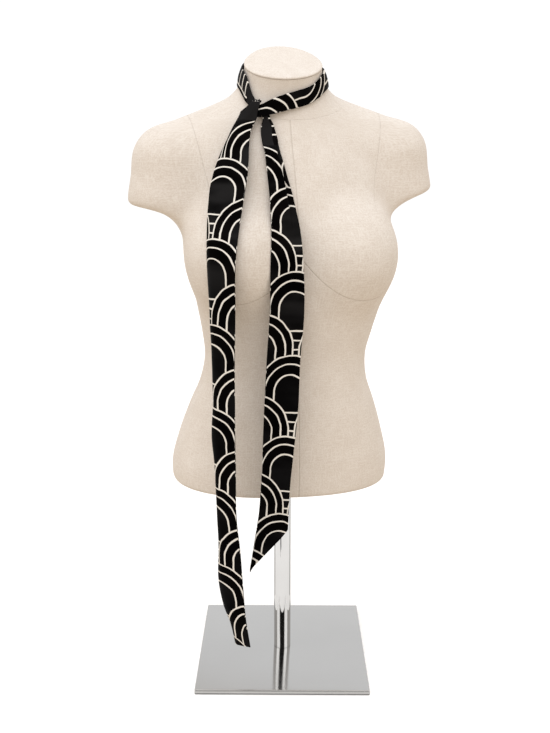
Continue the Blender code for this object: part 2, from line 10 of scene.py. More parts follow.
import bmesh
import bpy
import numpy as np
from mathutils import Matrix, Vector, noise
from mathutils.bvhtree import BVHTree
from numpy.linalg import norm


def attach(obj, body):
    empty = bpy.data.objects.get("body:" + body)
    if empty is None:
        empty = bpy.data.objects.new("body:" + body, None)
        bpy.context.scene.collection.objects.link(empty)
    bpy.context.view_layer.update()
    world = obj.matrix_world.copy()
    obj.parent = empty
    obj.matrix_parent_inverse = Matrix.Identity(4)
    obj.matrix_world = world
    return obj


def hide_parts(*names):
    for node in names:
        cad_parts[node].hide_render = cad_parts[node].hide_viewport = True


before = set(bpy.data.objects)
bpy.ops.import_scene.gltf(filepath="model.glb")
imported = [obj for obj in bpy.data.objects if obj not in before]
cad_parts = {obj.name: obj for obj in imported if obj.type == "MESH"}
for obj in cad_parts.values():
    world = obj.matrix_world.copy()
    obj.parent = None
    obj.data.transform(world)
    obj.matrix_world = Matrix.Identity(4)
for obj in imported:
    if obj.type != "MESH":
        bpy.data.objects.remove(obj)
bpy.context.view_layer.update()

# Driving dimensions
PLATE_SIDE = 0.254
PLATE_THICKNESS = 0.008
PLATE_EDGE_RADIUS = 0.0012
POLE_DIAMETER = 0.026
SOCKET_DEPTH = 0.060
HEM_HEIGHT = 0.2850
HEM_RADIUS = 0.007
HEM_ROLL = radians(2.1)
FORM_TURN = radians(12.0)
STRAND_WALL = 0.003
KNOT_END_WALL = 0.0024
SEAM_GAP = 0.0003
REST_GAP = 0.0010
RING_BIAS = 1.45


def named(kind, *rows):
    return [kind(*row) for row in rows]


# The trunk of the form, in the form's own frame: reach of each side of the pole's axis
Trunk = namedtuple("Trunk", "height half_width front back centre_x", defaults=(0.0,))
TRUNK = named(
    Trunk,
    (0.27, 0.159, 0.082, 0.12),
    (0.315, 0.162, 0.088, 0.129),
    (0.361, 0.1512, 0.091, 0.121),
    (0.408, 0.1356, 0.092, 0.101),
    (0.446, 0.1212, 0.091, 0.081),
    (0.483, 0.1161, 0.092, 0.066, 0.001),
    (0.52, 0.122, 0.098, 0.061, 0.003),
    (0.56, 0.1308, 0.107, 0.064, 0.0045),
    (0.605, 0.1362, 0.112, 0.077, 0.002),
    (0.65, 0.1425, 0.109, 0.088),
    (0.7, 0.144, 0.1, 0.096),
    (0.74, 0.14, 0.088, 0.097),
    (0.775, 0.122, 0.074, 0.091),
    (0.805, 0.09, 0.06, 0.082),
    (0.835, 0.056, 0.046, 0.064),
    (0.87, 0.035, 0.036, 0.044),
    (0.95, 0.02, 0.03, 0.03),
)
TRUNK_SQUARENESS = 2.25

# The neck leans forward, and each of its rings is tipped further until the cap's own tilt
NeckRing = namedtuple("NeckRing", "height centre_x centre_y radius_x radius_y tilt roll")
NECK = named(
    NeckRing,
    (0.79, 0.0, 0.008, 0.06, 0.06, 0.0, 0.0),
    (0.815, -0.001, 0.002, 0.0545, 0.056, 4.0, 0.6),
    (0.84, -0.0025, -0.006, 0.0515, 0.0535, 10.0, 1.4),
    (0.862, -0.004, -0.014, 0.0507, 0.053, 18.5, 2.7),
    (0.8765, -0.0045, -0.019, 0.051, 0.054, 24.2, 3.6),
)

# Heights between the form's rings at a fineness of one, from and to which height
TRUNK_STEPS = ((0.296, 0.672, 0.0185), (0.672, 0.708, 0.0045), (0.708, 0.790, 0.010))
NECK_STEP = 0.0065
FORM_SIDES = 208
FORM_FINENESS = 0.26

# One shoulder, mirrored for the other: a rounded stub that ends in a flat cut under the arm.
# The form's own left shoulder sits a little higher, by the two rises for each metre sideways
YOKE_INNER = (0.050, 0.008, 0.800)
YOKE_OUTER = (0.158, 0.004, 0.756)
YOKE_INNER_RADIUS = 0.043
YOKE_OUTER_RADIUS = 0.048
STUB_BOTTOM = (0.167, 0.002, 0.708)
STUB_CUT_POINT = (0.186, 0.697)
STUB_CUT_TILT = radians(14.0)
SHOULDER_RISE = 0.022
STUB_CUT_RISE = 0.018

# One bust cup, mirrored for the other
CUP_CENTRE = (0.079, -0.070, 0.628)
CUP_RADII = (0.064, 0.066, 0.070)

SOFT_SHOULDER = 0.035
SOFT_NECK = 0.028
SOFT_CUP = 0.030
SOFT_CUT = 0.008


def smooth_column(rows, column, at):
    """A smooth curve through one column of a table, read at the values in at of its first column."""
    xs = np.array([row[0] for row in rows], float)
    ys = np.array([getattr(row, column) for row in rows], float)
    if xs[0] > xs[-1]:
        xs, ys = xs[::-1], ys[::-1]
    slopes = np.gradient(ys, xs)
    at = np.clip(np.asarray(at, float), xs[0], xs[-1])
    i = np.clip(np.searchsorted(xs, at) - 1, 0, len(xs) - 2)
    span = xs[i + 1] - xs[i]
    t = (at - xs[i]) / span
    rise = ys[i] * (1 + 2 * t) * (1 - t) ** 2 + ys[i + 1] * t**2 * (3 - 2 * t)
    return rise + span * t * (1 - t) * ((1 - t) * slopes[i] - t * slopes[i + 1])


def reading(rows, column, at):
    return float(smooth_column(rows, column, at))


def soft_union(a, b, reach):
    """The smaller of two distances, with the crease between them rounded over reach."""
    share = np.clip(0.5 + 0.5 * (b - a) / reach, 0.0, 1.0)
    return b * (1 - share) + a * share - reach * share * (1 - share)


def trunk_distance(x, y, z):
    half, front, back, centre = (smooth_column(TRUNK, name, z) for name in Trunk._fields[1:])
    depth = (front + back) / 2
    across = np.abs((x - centre) / half) ** TRUNK_SQUARENESS
    along = np.abs((y - (back - front) / 2) / depth) ** TRUNK_SQUARENESS
    return ((across + along) ** (1 / TRUNK_SQUARENESS) - 1) * np.minimum(half, depth)


def neck_distance(x, y, z):
    middle_x, middle_y, wide, deep = (smooth_column(NECK, name, z) for name in NeckRing._fields[1:5])
    return (np.sqrt(((x - middle_x) / wide) ** 2 + ((y - middle_y) / deep) ** 2) - 1) * wide


def capsule_distance(x, y, z, start, end, start_radius, end_radius):
    start, end = np.array(start), np.array(end)
    line = end - start
    point = np.stack([x - start[0], y - start[1], z - start[2]])
    share = np.clip(np.tensordot(line, point, 1) / line.dot(line), 0.0, 1.0)
    gap = point - line.reshape(3, *[1] * np.ndim(x)) * share
    radius = start_radius + (end_radius - start_radius) * share
    return np.sqrt((gap**2).sum(0)) - radius


def shoulder_distance(x, y, z):
    side = np.abs(x)
    z = z - SHOULDER_RISE * x
    yoke = capsule_distance(side, y, z, YOKE_INNER, YOKE_OUTER, YOKE_INNER_RADIUS, YOKE_OUTER_RADIUS)
    stub = capsule_distance(side, y, z, YOKE_OUTER, STUB_BOTTOM, YOKE_OUTER_RADIUS, YOKE_OUTER_RADIUS)
    arm = soft_union(yoke, stub, SOFT_CUT)
    below = (STUB_CUT_POINT[1] + STUB_CUT_RISE * x - z) * cos(STUB_CUT_TILT)
    below = below + (side - STUB_CUT_POINT[0]) * sin(STUB_CUT_TILT)
    return -soft_union(-arm, -below, SOFT_CUT)


def cup_distance(x, y, z):
    reach = np.stack([np.abs(x) - CUP_CENTRE[0], y - CUP_CENTRE[1], z - CUP_CENTRE[2]])
    radii = np.array(CUP_RADII).reshape(3, *[1] * np.ndim(x))
    return (np.sqrt(((reach / radii) ** 2).sum(0)) - 1) * CUP_RADII[0]


def form_distance(x, y, z):
    """Below zero inside the form, in the form's own frame."""
    body = soft_union(trunk_distance(x, y, z), shoulder_distance(x, y, z), SOFT_SHOULDER)
    body = soft_union(body, cup_distance(x, y, z), SOFT_CUP)
    return soft_union(body, neck_distance(x, y, z), SOFT_NECK)


def surface_reach(start, ray, high, tries):
    """How far rays run from start, inside the form, to where they leave it."""
    low = np.zeros(len(high))
    for _ in range(tries):
        middle = (low + high) / 2
        inside = form_distance(*(start[k] + ray[k] * middle for k in range(3))) < 0
        low, high = np.where(inside, middle, low), np.where(inside, high, middle)
    return low


def surface_ring(centre, tilt, roll, count, bias):
    """Points where rays from centre leave the form, in a plane tipped by tilt and roll."""
    turn = np.arange(count) * 2 * pi / count
    ray = np.stack([np.cos(turn) * bias, np.sin(turn), np.zeros(count)])
    ray /= norm(ray, axis=0)
    rise = ray[1] * sin(tilt) + ray[0] * sin(roll)
    ray = np.stack([ray[0] * cos(roll), ray[1] * cos(tilt), rise])
    reach = surface_reach(centre, ray, np.full(count, 0.30), 34)
    return np.array(centre)[None, :] + (ray * reach).T


def trunk_centre_y(z):
    return (reading(TRUNK, "back", z) - reading(TRUNK, "front", z)) / 2


def steps(start, stop, size):
    """Evenly spaced values from start up to, but not with, stop, about size apart."""
    return list(np.linspace(start, stop, max(1, round((stop - start) / size)), endpoint=False))


def form_rings(count, fineness):
    """Every ring of the form from hem to neck, in the world frame."""
    heights = [HEM_HEIGHT + HEM_RADIUS * (1 - cos(a)) for a in np.linspace(0.0, 1.57, 9)]
    for start, stop, size in TRUNK_STEPS:
        heights += steps(start, stop, size * fineness)
    rings = []
    for z in heights:
        roll = -HEM_ROLL * max(0.0, 1 - (z - HEM_HEIGHT) / 0.10)
        lift = min(1.0, (z - HEM_HEIGHT) / HEM_RADIUS)
        inset = HEM_RADIUS * (1 - sqrt(1 - (1 - lift) ** 2))
        middle = np.array([0.0, trunk_centre_y(z), z])
        ring = surface_ring(middle, 0.0, roll, count, RING_BIAS)
        away = ring - middle
        reach = norm(away, axis=1, keepdims=True)
        rings.append(ring - away / reach * inset)
    for z in steps(NECK[0].height, NECK[-1].height, NECK_STEP * fineness) + [NECK[-1].height]:
        tilt = radians(reading(NECK, "tilt", z))
        roll = radians(reading(NECK, "roll", z))
        ease = min(1.0, (z - NECK[0].height) / 0.02)
        centre_x = ease * reading(NECK, "centre_x", z)
        centre_y = (1 - ease) * trunk_centre_y(z) + ease * reading(NECK, "centre_y", z)
        bias = RING_BIAS + (1.0 - RING_BIAS) * ease
        rings.append(surface_ring((centre_x, centre_y, z), tilt, roll, count, bias))
    return [turned(ring) for ring in rings]


def turned(points):
    """Points of the form's own frame, turned into the world frame."""
    c, s = cos(FORM_TURN), sin(FORM_TURN)
    x, y, z = points[:, 0], points[:, 1], points[:, 2]
    return np.stack([x * c - y * s, x * s + y * c, z], axis=1)


# A section of cloth is a run of zones across it: length, how far it turns, and segments
Zone = namedtuple("Zone", "length turn segments")
FOLD_RADIUS = 0.00105


def section_line(zones):
    """Points and headings of the cloth's middle line, from one edge to the other.

    The first number of a point goes across, and the second goes back from the viewer.
    """
    heading = 0.0
    points = [np.zeros(2)]
    headings = [heading]
    for zone in zones:
        for _ in range(zone.segments):
            step = zone.length / zone.segments
            middle = heading + zone.turn / zone.segments / 2
            heading += zone.turn / zone.segments
            points.append(points[-1] + step * np.array([cos(middle), sin(middle)]))
            headings.append(heading)
    return np.array(points), np.array(headings)


def run_along(points):
    """How far each point of a line is from its start, along the line."""
    return np.concatenate([[0.0], np.cumsum(norm(np.diff(points, axis=0), axis=1))])


def curled_zones(flat, shown):
    """Zones of a cloth that lies flat and then rolls back, so that only shown of it is seen."""

    def zones(turn):
        return [Zone(0.45 * flat, 0.0, 4), Zone(0.55 * flat, turn, 7)]

    low, high = radians(2), radians(235)
    for _ in range(26):
        middle = (low + high) / 2
        if np.ptp(section_line(zones(middle))[0][:, 0]) > shown:
            low = middle
        else:
            high = middle
    return zones(low)


def pleated_zones(shown, front, overlap):
    """Zones of a cloth with one pleat: the front layer, the return behind it and the next layer.

    The pleat opens out as its overlap runs down to nothing.
    """
    turn = pi * min(1.0, max(0.0, (overlap - 0.001) / 0.006))
    bend = pi * FOLD_RADIUS
    rest = shown - front - overlap * cos(turn) - 2 * bend * float(np.sinc(turn / pi))
    return [
        Zone(front, 0.0, 3),
        Zone(bend, turn, 3),
        Zone(max(overlap, 0.001), 0.0, 3),
        Zone(bend, -turn, 3),
        Zone(max(rest, 0.002), 0.0, 4),
    ]


# Each tail starts with a few stations that hide in the knot, seen edge to edge as one fold
KnotEnd = namedtuple("KnotEnd", "x y height width")
LEFT_KNOT_END = named(
    KnotEnd,
    (-0.0315, -0.0655, 0.8302, 0.0065),
    (-0.0335, -0.0698, 0.8295, 0.008),
    (-0.0362, -0.0728, 0.8256, 0.011),
    (-0.04, -0.0742, 0.8195, 0.0145),
)
RIGHT_KNOT_END = named(
    KnotEnd,
    (-0.0235, -0.0666, 0.818, 0.0076),
    (-0.0226, -0.0682, 0.812, 0.0085),
    (-0.0216, -0.0698, 0.806, 0.0096),
)

# Left tail, from the knot down: centre and shown width measured level, and the turn of its face
LeftRow = namedtuple("LeftRow", "height centre_x shown face flat", defaults=(0.047,))
LEFT_TAIL = named(
    LeftRow,
    (0.81, -0.045, 0.0205, 4.0, 0.024),
    (0.794, -0.0525, 0.0225, 6.0, 0.031),
    (0.778, -0.0575, 0.0285, 8.0, 0.038),
    (0.758, -0.0625, 0.038, 10.0, 0.045),
    (0.738, -0.067, 0.044, 11.0),
    (0.718, -0.0712, 0.046, 11.0),
    (0.69, -0.075, 0.0448, 13.0),
    (0.64, -0.0792, 0.0424, 16.0),
    (0.56, -0.0788, 0.0385, 16.0),
    (0.48, -0.0775, 0.0322, 15.0),
    (0.44, -0.0778, 0.0328, 15.0),
    (0.4, -0.079, 0.0346, 14.0),
    (0.36, -0.077, 0.0316, 16.0),
    (0.29, -0.0754, 0.0294, 17.0),
    (0.24, -0.0728, 0.033, 14.0),
    (0.18, -0.0706, 0.0362, 12.0),
    (0.155, -0.0672, 0.0348, 20.0),
    (0.13, -0.0618, 0.0334, 32.0),
    (0.09, -0.055, 0.0334, 38.0),
)
LEFT_END = (0.0990, 0.1010)

# Right tail: as above, with the front layer and the overlap of the pleat that opens out below
RightRow = namedtuple("RightRow", "height centre_x shown face front overlap", defaults=(0.022, 0.001))
RIGHT_TAIL = named(
    RightRow,
    (0.8, -0.0208, 0.0125, 0.0, 0.005, 0.0),
    (0.79, -0.0196, 0.015, -2.0, 0.008, 0.001),
    (0.778, -0.017, 0.0172, -5.0, 0.01, 0.0026),
    (0.764, -0.0136, 0.0198, -8.0, 0.013, 0.005),
    (0.748, -0.0102, 0.023, -10.0, 0.016, 0.0085),
    (0.728, -0.0061, 0.0262, -10.0, 0.019, 0.007),
    (0.708, -0.0019, 0.0306, -10.0, 0.021, 0.005),
    (0.688, 0.001, 0.0338, -10.0, 0.022, 0.0034),
    (0.668, 0.0035, 0.0366, -8.0, 0.022, 0.0022),
    (0.628, 0.0051, 0.0411, -6.0),
    (0.56, 0.0052, 0.044, -4.0),
    (0.5, 0.001, 0.0432, 0.0),
    (0.43, -0.0022, 0.0442, 4.0),
    (0.368, -0.0064, 0.0412, 10.0),
    (0.322, -0.0096, 0.0396, 14.0),
    (0.276, -0.0124, 0.0412, 12.0),
    (0.25, -0.015, 0.044, 10.0),
    (0.198, -0.023, 0.044, 8.0),
)
RIGHT_END = (0.1935, 0.2640)
END_SLANT_REACH = 0.110
THICK_REACH = 0.014


def tail_zones(rows, z, slope):
    """The zones at height z, narrowed from the level width to the width across the cloth."""
    shown = reading(rows, "shown", z) * slope
    if rows is LEFT_TAIL:
        return curled_zones(reading(rows, "flat", z), shown)
    front = reading(rows, "front", z) * slope
    return pleated_zones(shown, front, reading(rows, "overlap", z))


# The two stretches round the neck: bearing from +X, middle height, width, and stand-off
NeckRow = namedtuple("NeckRow", "bearing height width offset", defaults=(0.0,))
NECK_LEFT = named(
    NeckRow,
    (90.4, 0.8765, 0.024),
    (140.0, 0.8735, 0.027),
    (170.0, 0.87, 0.0245),
    (190.0, 0.863, 0.0245),
    (205.0, 0.856, 0.0255, 0.0003),
    (214.0, 0.849, 0.026, 0.001),
    (222.0, 0.8385, 0.0205, 0.002),
    (228.0, 0.8315, 0.0145, 0.0028),
    (233.5, 0.827, 0.01, 0.0034),
)
NECK_RIGHT = named(
    NeckRow,
    (-117.0, 0.817, 0.016, 0.0077),
    (-104.0, 0.8225, 0.0198, 0.0055),
    (-88.0, 0.8277, 0.0212, 0.0026),
    (-70.0, 0.8322, 0.0216, 0.0006),
    (-48.0, 0.839, 0.0218),
    (-20.0, 0.855, 0.023),
    (0.0, 0.862, 0.0225),
    (30.0, 0.8695, 0.0235),
    (60.0, 0.874, 0.0245),
    (89.6, 0.8765, 0.024),
)
NECK_AXIS = (-0.002, -0.010)
WRAP_RADIUS = 0.0036
WRAP_TAIL = 0.0050
LAYER_WALL = 0.0012
SKIN = 0.0003
EDGE_STEPS = 5


def rounded_wall(points, headings, wall):
    """The closed outline of a double layer round its middle line, and each corner's place in the cut."""
    side = np.stack([-np.sin(headings), np.cos(headings)], axis=1)
    ahead = np.stack([np.cos(headings), np.sin(headings)], axis=1)
    bends = np.radians(np.linspace(-90, 90, EDGE_STEPS + 2)[1:-1])
    end = [points[-1] + wall / 2 * (cos(a) * ahead[-1] + sin(a) * side[-1]) for a in bends]
    start = [points[0] - wall / 2 * (cos(a) * ahead[0] + sin(a) * side[0]) for a in bends]
    outline = np.vstack([points - side * wall / 2, end, (points + side * wall / 2)[::-1], start])
    run = run_along(points)
    turn = wall * pi / 2
    across = run[-1] + turn * (bends / pi + 0.5)
    back = run[-1] + turn + (run[-1] - run[::-1])
    last = 2 * run[-1] + turn * (1.5 + bends / pi)
    return outline, np.concatenate([run, across, back, last, [2 * run[-1] + 2 * turn]])


def both_skins(points, headings, wall):
    """The outer and the inner outline of a double layer, and the outer one's places in the cut."""
    outer, cut = rounded_wall(points, headings, wall)
    return (outer, rounded_wall(points, headings, wall - 2 * SKIN)[0]), cut


def tube_faces(count, line_points):
    """The faces that close one end of a tube from rounded_wall, across its wall."""
    fold = 2 * line_points + EDGE_STEPS - 1
    low, high = -(EDGE_STEPS // 2), line_points + EDGE_STEPS // 2 - 1
    quads = [(i, i + 1, fold - i - 1, fold - i) for i in range(low, high)]
    ends = [(low - 1, low, fold - low), (high, high + 1, fold - high)]
    return [tuple(k % count for k in face) for face in quads + ends]


def loft_corners(rows, count):
    """The corners of each face of a loft, each as its ring and its place round it."""
    for r in range(rows - 1):
        for i in range(count):
            yield [(r, i), (r, i + 1), (r + 1, i + 1), (r + 1, i)]


def cloth_tube(name, rings, material):
    """A hollow tube of cloth; each ring has its outer and inner outline and the cut's coordinates."""
    bm = bmesh.new()
    layer = bm.loops.layers.uv.new("cut")
    count = len(rings[0].outer)
    line_points = (count - 2 * EDGE_STEPS) // 2

    def skin(outlines, inside):
        loops = [[bm.verts.new(p) for p in outline] for outline in outlines]
        faces = list(loft_corners(len(loops), count))
        for r, way in ((0, -1), (len(loops) - 1, 1)):
            faces += [[(r, i) for i in corners][::way] for corners in tube_faces(count, line_points)]
        for corners in faces:
            corners = corners[::-1] if inside else corners
            face = bm.faces.new([loops[r][i % count] for r, i in corners])
            for corner, (r, i) in zip(face.loops, corners):
                corner[layer].uv = (rings[r].across[i], rings[r].along[i])

    skin([ring.outer for ring in rings], False)
    skin([ring.inner for ring in rings], True)
    return finished(name, bm, material)


def placed_in_scene(name, data):
    obj = bpy.data.objects.new(name, data)
    bpy.context.scene.collection.objects.link(obj)
    return obj


def finished(name, bm, material, sharp=50):
    mesh = bpy.data.meshes.new(name)
    bm.to_mesh(mesh)
    bm.free()
    mesh.materials.append(material)
    mesh.shade_smooth()
    mesh.set_sharp_from_angle(angle=radians(sharp))
    return placed_in_scene(name, mesh)


Ring = namedtuple("Ring", "outer inner across along")


def ring_faces(rings):
    """Vertices and quads of the open loft through rings, for measuring."""
    count = len(rings[0])
    faces = loft_corners(len(rings), count)
    quads = [[r * count + i % count for r, i in corners] for corners in faces]
    return [tuple(p) for ring in rings for p in ring], quads


def front_depth(tree, x, z):
    """How far forward the form's surface reaches at that place, or None beside the form."""
    hit = tree.ray_cast(Vector((x, -1.0, z)), Vector((0.0, 1.0, 0.0)))[0]
    return hit.y if hit else None


def pulled_taut(heights, limits, top_depth):
    """Depths of a cloth pulled tight from its knot over everything in limits, then hanging."""
    hull = []
    points = [(heights[0], top_depth)] + list(zip(heights[1:], limits[1:])) + [(-5.0, min(limits))]
    for point in points:
        while len(hull) > 1:
            (z0, y0), (z1, y1) = hull[-2:]
            if (y1 - y0) * (point[0] - z0) - (point[1] - y0) * (z1 - z0) >= 0:
                break
            hull.pop()
        hull.append(point)
    zs = [z for z, _ in hull][::-1]
    ys = [y for _, y in hull][::-1]
    depths = np.interp(heights, zs, ys)
    for _ in range(6):
        softer = depths.copy()
        softer[1:-1] = depths[:-2] / 4 + depths[1:-1] / 2 + depths[2:] / 4
        depths = np.minimum(softer, np.array([depths[0]] + limits[1:]))
    return depths


GATHER_DEPTH = 0.0011
GATHER_PITCH = 0.0026
GATHER_FADE = 0.045
WAVE_DEPTH = 0.0010


def crease(across, drop, rows):
    """How far the cloth stands forward: gathers below the knot, and soft waves further down."""
    phase = 1.3 if rows is LEFT_TAIL else 0.2
    gather = GATHER_DEPTH * (0.5 + 0.5 * cos(across / GATHER_PITCH + phase))
    wave = 0.5 + 0.5 * noise.noise(Vector((across / 0.014, drop / 0.038, phase * 7)))
    return gather * exp(-drop / GATHER_FADE) + WAVE_DEPTH * wave * min(1.0, drop / 0.03)


def facing(down):
    """The ways across and back of a cloth that runs down, and how much a lean narrows it."""
    down = down / norm(down)
    across = np.array([1.0, 0.0, 0.0]) - down[0] * down
    slope = norm(across)
    across /= slope
    return across, np.cross(across, down), slope


class Tail:
    """One hanging tail of the scarf, laid over the form."""

    def __init__(self, rows, knot_end, end, levels, tree):
        self.rows, self.knot_end, self.end, self.levels = rows, knot_end, end, levels
        self.drops = None
        limits = []
        for z in levels:
            ring = self.section(z, 0.0, LAYER_WALL)[0]
            found = [(front_depth(tree, p[0], p[2]), p[1]) for p in ring[::3]]
            limits.append(min([f - REST_GAP - y for f, y in found if f is not None] or [0.0]))
        top = 2 * knot_end[-1].y - knot_end[-2].y
        self.depths = pulled_taut(levels, limits, top)
        self.falls = -np.gradient(self.depths, levels)
        middles = np.array([[reading(rows, "centre_x", z), z] for z in levels])
        middles = np.column_stack([middles, self.depths])
        self.drops = run_along(middles)

    def at(self, z, values):
        return float(np.interp(z, self.levels[::-1], values[::-1]))

    def section(self, z, fall, wall):
        """An outline of the tail at height z, without its depth, and its places in the cut."""
        rows = self.rows
        ahead = reading(rows, "centre_x", z - 0.004)
        behind = reading(rows, "centre_x", z + 0.004)
        across, back, slope = facing(np.array([(ahead - behind) / 0.008, -fall, -1.0]))
        zones = [zone._replace(segments=3 * zone.segments) for zone in tail_zones(rows, z, slope)]
        points, headings = section_line(zones)
        middle = (points[:, 0].max() + points[:, 0].min()) / 2
        if self.drops is not None:
            drop = self.at(z, self.drops)
            rise = np.array([crease(s, drop, rows) for s in run_along(points)])
            points = points - rise[:, None] * np.stack([-np.sin(headings), np.cos(headings)], axis=1)
        skins, cut = both_skins(points, headings, wall)
        face = radians(reading(rows, "face", z))
        centre = np.array([reading(rows, "centre_x", z), 0.0, z])
        outlines = []
        for local in skins:
            local[:, 0] = (local[:, 0] - middle) * (-1 if rows is LEFT_TAIL else 1)
            aside = local[:, :1] * cos(face) + local[:, 1:] * sin(face)
            behind_it = local[:, 1:] * cos(face) - local[:, :1] * sin(face)
            outlines.append(centre + aside * across + behind_it * back)
        local = skins[0][:, 0]
        return *outlines, cut, (local - local.min()) / np.ptp(local)

    def placed(self, z):
        share = min(1.0, max(0.0, (self.levels[0] - z) / THICK_REACH))
        wall = KNOT_END_WALL + (LAYER_WALL - KNOT_END_WALL) * share
        outer, inner, cut, place = self.section(z, self.at(z, self.falls), wall)
        depth = self.at(z, self.depths)
        outer[:, 1] += depth
        inner[:, 1] += depth
        return outer, inner, cut, place

    def rings(self):
        rings = []
        for z in self.levels:
            outer, inner, cut, place = self.placed(z)
            weight = max(0.0, 1 - (z - self.levels[-1]) / END_SLANT_REACH)
            if weight > 0:
                lifts = self.end[0] + (self.end[1] - self.end[0]) * place - self.levels[-1]
                for i, lift in enumerate(lifts):
                    own = self.placed(z + weight * lift)
                    outer[i], inner[i] = own[0][i], own[1][i]
            along = np.interp(outer[:, 2], self.levels[::-1], self.drops[::-1])
            along += np.minimum(0.0, self.levels[0] - outer[:, 2])
            rings.append(Ring(outer, inner, cut, np.append(along, along[0])))
        return self.top_rings(rings[0]) + rings

    def top_rings(self, first):
        """The thick stations that hide in the knot."""
        count = (len(first.outer) - 2 * EDGE_STEPS) // 2
        path = np.array([[s.x, s.y, s.height] for s in self.knot_end])
        found = []
        for k, station in enumerate(self.knot_end):
            across, back, _ = facing(path[min(k + 1, len(path) - 1)] - path[max(k - 1, 0)])
            line = np.zeros((count, 2))
            line[:, 0] = np.linspace(-0.5, 0.5, count) * (station.width - KNOT_END_WALL * 0.6)
            outlines = []
            for local in both_skins(line, np.zeros(count), KNOT_END_WALL)[0]:
                gathers = np.zeros((len(local), 3))
                if self.rows is LEFT_TAIL:
                    local[:, 0] *= -1
                    gathers[:, 2] = 0.0010 * (1 - k / 3) * np.sin(local[:, 0] / 0.0006)
                outlines.append(path[k] + local[:, :1] * across + local[:, 1:] * back + gathers)
            away = norm(path[k] - first.outer.mean(axis=0))
            along = self.levels[0] - outlines[0][:, 2] - away * 0.2
            found.append(Ring(*outlines, first.across, np.append(along, along[0])))
        blunt, tip = found[0], path[0] - path[1]
        for share, size in ((0.12, 0.80), (0.20, 0.50), (0.24, 0.20)):
            outer, inner = (path[0] + (o - path[0]) * size + tip * share for o in blunt[:2])
            found.insert(0, Ring(outer, inner, blunt.across, blunt.along - share * 0.004))
        return found


FOLD_STEP = 0.00075


def loop_rings(rows, count):
    """Rings of the scarf folded once lengthwise and laid round the neck, its fold uppermost."""
    axis = turned(np.array([[*NECK_AXIS, 0.0]]))[0]
    rings, leans, middles = [], [], []
    along = 0.0
    for degrees in np.linspace(rows[0].bearing, rows[-1].bearing, count):
        bearing = radians(degrees)
        height, width, offset = (reading(rows, name, degrees) for name in NeckRow._fields[1:])
        levels = np.linspace(height - width / 2, height + width / 2, 7)
        ray = (cos(bearing - FORM_TURN), sin(bearing - FORM_TURN), 0.0)
        reach = surface_reach((*NECK_AXIS, levels), ray, np.full(len(levels), 0.12), 24)
        straight = np.linspace(reach[0], reach[-1], 7)
        straight += max(0.0, (reach - straight).max()) + REST_GAP + STRAND_WALL / 2
        straight += offset
        low = np.array([straight[0], levels[0]])
        high = np.array([straight[-1], levels[-1]])
        up = (high - low) / norm(high - low)
        outward = np.array([up[1], -up[0]])
        span = norm(high - low) - LAYER_WALL
        front = span - FOLD_STEP
        zones = ((front, 0.0, 14), (pi * FOLD_STEP, pi, 6), (front - 0.0010, 0.0, 10))
        points, headings = section_line(named(Zone, *zones))
        for i, s in enumerate(run_along(points)):
            if s < front:
                swell = 0.0007 * sin(pi * s / front)
                ripple = 0.0005 * (0.5 + 0.5 * noise.noise(Vector((s / 0.007, degrees / 14, 3.0))))
                points[i, 1] -= swell + ripple * sin(pi * s / front)
        skins, cut = both_skins(points, headings, LAYER_WALL)
        out = np.array([cos(bearing), sin(bearing), 0.0])
        outlines = []
        for local in skins:
            along_up = local[:, :1] + LAYER_WALL / 2
            place = low + along_up * up + (FOLD_STEP - local[:, 1:]) * outward
            ring = axis + place[:, :1] * out
            ring[:, 2] = place[:, 1]
            outlines.append(ring)
        middle = axis + (low + high)[0] / 2 * out
        middle[2] = (low + high)[1] / 2
        if middles:
            along += float(norm(middle - middles[-1]))
        middles.append(middle)
        leans.append(out * (high - low)[0] / (high - low)[1] + np.array([0.0, 0.0, 1.0]))
        rings.append(Ring(*outlines, cut, np.full(len(cut), along)))
    return rings, leans, middles


def wrapped_loop(rings, leans, middles):
    """The rings of the right-hand loop, led back behind themselves round the tail's top."""
    first, middle, lean = rings[0], middles[0], leans[0]
    ahead = middle - middles[1]
    ahead[2] = 0.0
    ahead /= norm(ahead)
    inward = np.array([ahead[1], -ahead[0], 0.0])
    led = []
    for degrees in np.linspace(180.0, 12.0, 15):
        angle = radians(degrees)
        shrink = 1 - 0.12 * degrees / 180.0
        outlines = []
        for outline in (first.outer, first.inner):
            rise = outline[:, 2:] - middle[2]
            level = outline - rise * lean
            radius = (WRAP_RADIUS - (level - middle) @ inward)[:, None]
            moved = middle + inward * WRAP_RADIUS
            moved = moved - radius * cos(angle) * inward + radius * sin(angle) * ahead
            outlines.append(moved + rise * shrink * lean)
        along = first.along - angle * (WRAP_RADIUS + FOLD_STEP)
        led.append(Ring(*outlines, first.across, along))
    start = led[0]
    hidden = [Ring(start.outer - ahead * d, start.inner - ahead * d, start.across, start.along - d)
              for d in (WRAP_TAIL, WRAP_TAIL / 2)]
    return hidden + led + rings


def whole_form(rings):
    """Loops of the cover: the socket's inside, the underside, the outside and the neck's top."""
    hem = rings[0]
    flat = np.column_stack([np.ones(len(hem)), hem[:, 0], hem[:, 1]])
    plane = np.linalg.lstsq(flat, hem[:, 2], rcond=None)[0]
    reach = norm(hem[:, :2], axis=1, keepdims=True)
    circle = hem[:, :2] / reach * (POLE_DIAMETER / 2 + SEAM_GAP)
    mouth = np.column_stack([circle, plane[0] + circle @ plane[1:]])
    ceiling = mouth.copy()
    ceiling[:, 2] = HEM_HEIGHT + SOCKET_DEPTH
    under = [mouth + (hem - mouth) * share for share in (0.0, 0.02, 0.3, 0.6, 0.9)]
    return [ceiling, (ceiling + mouth) / 2] + under + rings


